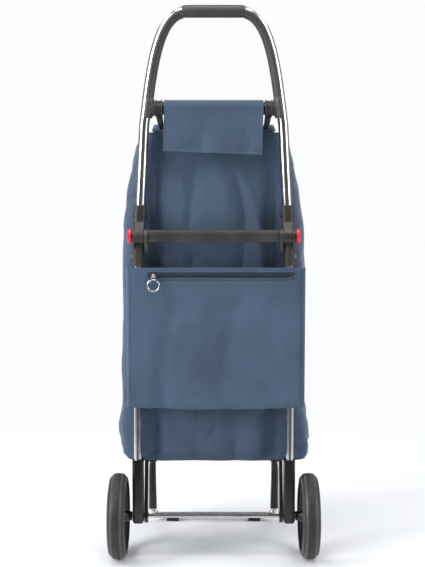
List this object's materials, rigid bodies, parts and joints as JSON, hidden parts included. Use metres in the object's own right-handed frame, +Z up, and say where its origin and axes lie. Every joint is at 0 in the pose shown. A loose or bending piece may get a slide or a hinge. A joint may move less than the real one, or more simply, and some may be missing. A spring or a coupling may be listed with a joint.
{
  "type": "shopping trolley",
  "caption": "Folding upright shopping trolley: tube frame on two wheels, cloth bag with lid and rear zip pocket, folding looped handle and fold-away front stand.",
  "frame": {"origin": "on the ground, at the middle of the footprint", "axes": "+Z up, +X to the user's right when pushing from behind, +Y forwards, from the user towards the bag's front"},
  "size_m": [0.4014, 0.323, 1.0446],
  "materials": {
    "polished_tube": "polished, with fine lengthwise draw lines",
    "bright_steel": "bright plated",
    "grey_plastic": "fine moulded grain",
    "black_plastic": "semi-gloss moulded",
    "rim_plastic": "satin moulded",
    "foam_tyre": "matt foam rubber with small tread blocks",
    "rubber_pad": "matt rubber",
    "red_plastic": "semi-gloss moulded",
    "blue_cloth": "plain-woven coated polyester with a slight sheen",
    "webbing": "woven webbing",
    "zip_tape": "woven zip tape and coil",
    "nickel": "plated, bright"
  },
  "bodies": {
    "chassis": {"axle": "bright_steel", "rear_brace": "grey_plastic", "lower_tube_left": "polished_tube", "lower_tube_right": "polished_tube", "axle_socket_left": "black_plastic", "axle_socket_right": "black_plastic", "side_bracket_left": "black_plastic", "side_bracket_right": "black_plastic", "lower_knuckle_left": "grey_plastic", "lower_knuckle_right": "grey_plastic", "pivot_pin_left": "bright_steel", "pivot_pin_right": "bright_steel", "lower_rivet_left": "nickel", "lower_rivet_right": "nickel", "bag_back": "blue_cloth", "bag_front": "blue_cloth", "bag_side_left": "blue_cloth", "bag_side_right": "blue_cloth", "bag_base": "black_plastic", "hook_loop_left": "webbing", "hook_loop_right": "webbing", "rear_pocket": "blue_cloth", "zip_tape": "zip_tape", "zip_chain": "zip_tape", "stand_pin_left": "bright_steel", "stand_pin_right": "bright_steel"},
    "handle": {"handle_tube": "polished_tube", "grip_centre": "grey_plastic", "grip_left": "grey_plastic", "grip_right": "grey_plastic", "grip_foot_left": "grey_plastic", "grip_foot_right": "grey_plastic", "top_bar": "black_plastic", "bag_hook_left": "grey_plastic", "bag_hook_right": "grey_plastic", "hanging_flap": "blue_cloth", "upper_knuckle_left": "grey_plastic", "upper_knuckle_right": "grey_plastic", "upper_rivet_left": "black_plastic", "upper_rivet_right": "black_plastic"},
    "wheel_left": {"tyre_left": "foam_tyre", "rim_left": "rim_plastic", "hub_cap_left": "black_plastic"},
    "wheel_right": {"tyre_right": "foam_tyre", "rim_right": "rim_plastic", "hub_cap_right": "black_plastic"},
    "button_left": {"fold_button_left": "red_plastic"},
    "button_right": {"fold_button_right": "red_plastic"},
    "stand": {"stand_bar": "bright_steel", "stand_leg_left": "black_plastic", "stand_leg_right": "black_plastic", "stand_pad_left": "rubber_pad", "stand_pad_right": "rubber_pad"},
    "lid": {"bag_lid": "blue_cloth"},
    "slider": {"zip_slider": "nickel"},
    "pull": {"pull_ring": "nickel"}
  },
  "joints": [
    {"name": "handle_fold", "type": "hinge", "parent": "chassis", "child": "handle", "pos_m": [0, -0.097, 0.623], "axis": [1, 0, 0], "range_deg": [0, 168]},
    {"name": "wheel_left_spin", "type": "hinge", "parent": "chassis", "child": "wheel_left", "pos_m": [-0.1835, -0.079, 0.0825], "axis": [1, 0, 0], "continuous": true},
    {"name": "wheel_right_spin", "type": "hinge", "parent": "chassis", "child": "wheel_right", "pos_m": [0.1835, -0.079, 0.0825], "axis": [1, 0, 0], "continuous": true},
    {"name": "button_left_press", "type": "slide", "parent": "chassis", "child": "button_left", "axis": [1, 0, 0], "range_m": [0, 0.003], "stiffness_N_per_m": 300, "springref_m": -0.003},
    {"name": "button_right_press", "type": "slide", "parent": "chassis", "child": "button_right", "axis": [-1, 0, 0], "range_m": [0, 0.003], "stiffness_N_per_m": 300, "springref_m": -0.003},
    {"name": "stand_fold", "type": "hinge", "parent": "chassis", "child": "stand", "pos_m": [0, 0.126, 0.152], "axis": [-1, 0, 0], "range_deg": [0, 98]},
    {"name": "lid_open", "type": "hinge", "parent": "chassis", "child": "lid", "pos_m": [0, -0.057, 0.82], "axis": [1, 0, 0], "range_deg": [0, 70]},
    {"name": "zip_slide", "type": "slide", "parent": "chassis", "child": "slider", "axis": [1, 0, 0], "range_m": [0, 0.215]},
    {"name": "pull_swing", "type": "hinge", "parent": "slider", "child": "pull", "pos_m": [-0.113, -0.1024, 0.5493], "axis": [-1, 0, 0], "range_deg": [0, 160]}
  ]
}
